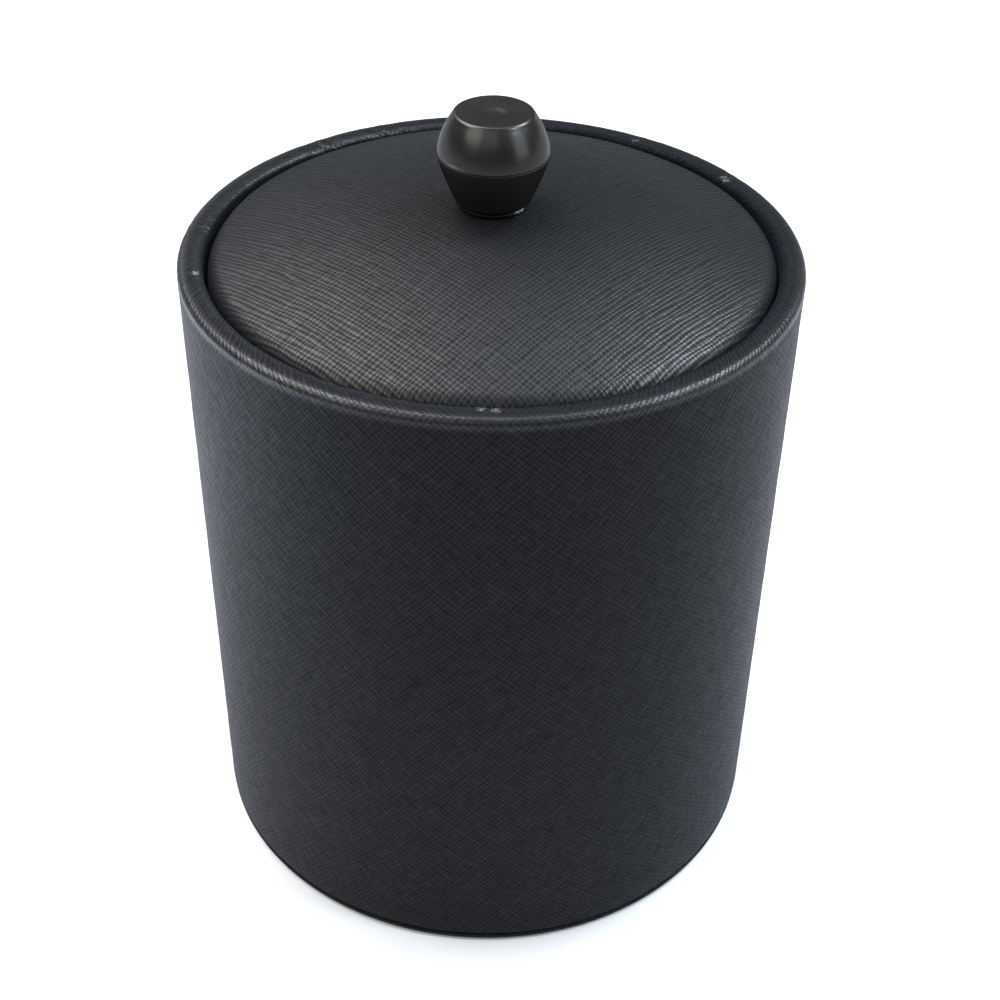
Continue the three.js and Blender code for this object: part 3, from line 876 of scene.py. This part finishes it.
def knob_screw():
    """A pan-head screw with a cross recess and a thread, head down."""
    low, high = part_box("knob_screw")
    head, head_top, head_round = high.x, low.z + 2.4 * MM, 0.8 * MM
    shank, recess, tip = 2 * MM, 1.3 * MM, 0.8 * MM
    pitch, thread_depth = 0.7 * MM, 0.35 * MM
    slope = [(0.5 * MM, low.z + 1.35 * MM), (recess, low.z)]
    profile = [(0, low.z + 1.4 * MM)] + fine(slope, 0.2 * MM, False)
    profile += arc(head - head_round, low.z + head_round, head_round, -90, 0, 5)
    profile += [(head, head_top), (shank, head_top)]
    profile += fine([(shank, head_top), (shank, high.z - tip)], 0.12 * MM, False)[1:]
    profile += [(shank - tip, high.z), (0, high.z)]

    def cut(azimuth, radius, height):
        on_shank = (np.abs(radius - shank) < 0.01 * MM) * (height > head_top)
        depth = threaded(azimuth, height, pitch, head_top + 4 * MM, high.z, thread_depth)
        star = 0.5 + 0.5 * np.cos(4 * azimuth)
        in_drive = (radius < recess - 0.01 * MM) * (height < low.z + 1.5 * MM)
        return azimuth, radius - on_shank * depth - in_drive * 0.55 * star * radius, height

    piece = turn("knob_screw_piece", profile, 48, closed=False, warp=cut)
    dress(piece, "lid", "knob_screw", plated_steel)


def knob_insert():
    """A knurled brass sleeve with a groove round its middle."""
    low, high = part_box("knob_insert")
    groove_z, knurls = (low.z + high.z) / 2, 36
    knurl_depth, groove_depth = 0.25 * MM, 0.5 * MM

    def knurled(azimuth, radius, height):
        outside = radius > high.x - 0.05 * MM
        knurl = 0.5 + 0.5 * np.cos(knurls * azimuth)
        band = smooth(np.abs(height - groove_z), 0.6 * MM, 0.9 * MM)
        cut = knurl_depth * knurl * band + groove_depth * (1 - band)
        return azimuth, radius - outside * cut, height

    profile = fine(eased(ring(INSERT_BORE, high.x, low.z, high.z), 0.3 * MM), 0.5 * MM)
    piece = turn("knob_insert_piece", profile, 144, warp=knurled)
    dress(piece, "lid", "knob_insert", brass)


knob_cap()
knob_base()
collar("knob_washer", SCREW_HOLE, "lid", dark_steel, 0.3 * MM, 128, wider=0.35 * MM)
collar("screw_washer", INSERT_BORE, "lid", plated_steel, 0.15 * MM, 64)
knob_screw()
knob_insert()

# ---- Floor, light and camera -------------------------------------------------
FLOOR_REACH = 60.0
FLOOR_DROP = 0.2 * MM
BUCKET_TOP = (0, 0, 0.2)
# Softboxes: name, direction from the bucket's top, distance, size, radiance and tint.
SOFTBOXES = (
    ("box_right", (0.74, 0.11, 0.66), 1.0, (0.34, 0.34), 13, (0.88, 0.94, 1.0)),
    ("box_back_right", (0.54, 0.33, 0.77), 1.0, (0.27, 0.27), 26, (0.84, 0.92, 1.0)),
    ("box_front_right", (0.66, -0.28, 0.70), 1.0, (0.20, 0.20), 34, (0.84, 0.91, 1.0)),
    ("box_left", (-0.46, 0.33, 0.83), 1.0, (0.64, 0.62), 7.2, (0.98, 0.98, 1.0)),
    ("box_edge_left", (-0.68, -0.04, 0.73), 1.0, (0.36, 0.36), 8, (1.0, 0.98, 0.95)),
    ("box_back_left", (-0.44, 0.68, 0.58), 1.0, (0.60, 0.60), 1.0, (0.96, 0.98, 1.0)),
    ("box_top", (0.0, 0.25, 0.97), 1.0, (0.70, 0.50), 1.8, (0.96, 0.98, 1.0)),
    ("box_front", (-0.12, -0.78, 0.62), 1.5, (0.90, 0.50), 0.9, (1.0, 0.97, 0.92)),
    ("window_right", (0.86, -0.42, 0.38), 1.2, (0.60, 0.50), 2.2, (0.88, 0.94, 1.0)),
    ("window_left", (-0.62, -0.44, 0.65), 1.2, (0.70, 0.60), 3.0, (1.0, 0.96, 0.90)))
CAMERA_PLACE = (0, -0.4502, 0.4543)
CAMERA_ANGLES = (37.13, 0.49, 1.09)     # pitch down, yaw and roll, in degrees
LENS = 59.87                            # mm, with a sensor 36 mm wide


def floor():
    """A plain pale floor to the horizon. It glows more far off, where the lamps don't reach."""
    mesh = bpy.data.meshes.new("floor")
    corners = [(x * FLOOR_REACH, y * FLOOR_REACH, -FLOOR_DROP)
               for x, y in ((-1, -1), (1, -1), (1, 1), (-1, 1))]
    mesh.from_pydata(corners, [], [(0, 1, 2, 3)])
    plane = bpy.data.objects.new("floor", mesh)
    bpy.context.scene.collection.objects.link(plane)
    n = Nodes("floor")
    x, y, _ = n.split(n.place())
    glow = n.span(n.reach(x, y), 0.9, 3.0, 0.06, 0.55)
    mesh.materials.append(n.finish(Base_Color=(0.80, 0.80, 0.80, 1.0), Roughness=0.8,
                                   Specular_IOR_Level=0.1, Emission_Strength=glow,
                                   Emission_Color=(0.90, 0.95, 1.0, 1.0)))


def softbox(name, direction, distance, size, radiance, tint, target=BUCKET_TOP, spread=180):
    """A rectangular light in a direction from its target, facing it."""
    light = bpy.data.lights.new(name, "AREA")
    light.shape, light.size, light.size_y = "RECTANGLE", size[0], size[1]
    light.energy, light.color = radiance * math.pi * size[0] * size[1], tint
    light.spread = math.radians(spread)
    lamp = bpy.data.objects.new(name, light)
    bpy.context.scene.collection.objects.link(lamp)
    away = Vector(direction).normalized()
    lamp.location = Vector(target) + away * distance
    lamp.rotation_euler = (-away).to_track_quat("-Z", "Y").to_euler()


def surroundings():
    """A dim studio: pale at the horizon like the floor, dark above it, brighter overhead."""
    world = bpy.data.worlds.new("world")
    bpy.context.scene.world = world
    world.use_nodes = True
    n = world.node_tree.nodes
    links = world.node_tree.links
    place, parts, overhead, haze, glow = (n.new(kind) for kind in (
        "ShaderNodeTexCoord", "ShaderNodeSeparateXYZ", "ShaderNodeMapRange",
        "ShaderNodeMapRange", "ShaderNodeMath"))
    glow.operation = "MAXIMUM"
    links.new(place.outputs["Generated"], parts.inputs[0])
    for ramp, socket, values in (
            (overhead, 0, {"From Min": 0.35, "To Min": 0.12, "To Max": 0.62}),
            (haze, 1, {"From Min": 0.04, "From Max": 0.08, "To Min": 0.50, "To Max": 0.0})):
        links.new(parts.outputs[2], ramp.inputs["Value"])
        for key, value in values.items():
            ramp.inputs[key].default_value = value
        links.new(ramp.outputs[0], glow.inputs[socket])
    sky = n["Background"]
    sky.inputs["Color"].default_value = (0.84, 0.92, 1.0, 1.0)
    links.new(glow.outputs[0], sky.inputs["Strength"])


def camera():
    """The camera stands in front of the bucket and looks down at it."""
    pitch, yaw, roll = (math.radians(a) for a in CAMERA_ANGLES)
    ahead = Vector((math.sin(yaw) * math.cos(pitch), math.cos(yaw) * math.cos(pitch),
                    -math.sin(pitch)))
    right = Vector((math.cos(yaw), -math.sin(yaw), 0))
    up = right.cross(ahead)
    turned_right = right * math.cos(roll) + up * math.sin(roll)
    turned_up = up * math.cos(roll) - right * math.sin(roll)
    data = bpy.data.cameras.new("camera")
    data.sensor_width = 36
    data.lens = LENS
    data.clip_start = 0.01
    eye = bpy.data.objects.new("camera", data)
    bpy.context.scene.collection.objects.link(eye)
    axes = Matrix((turned_right, turned_up, -ahead)).transposed().to_4x4()
    eye.matrix_world = Matrix.Translation(Vector(CAMERA_PLACE)) @ axes
    bpy.context.scene.camera = eye


floor()
surroundings()
for box in SOFTBOXES:
    softbox(*box)
softbox("floor_wash", (-0.25, 0.0, 0.97), 0.95, (0.30, 0.30), 19, (0.76, 0.86, 1.0),
        target=(-0.66, -0.06, 0), spread=50)
camera()
bpy.context.scene.view_settings.view_transform = "Standard"
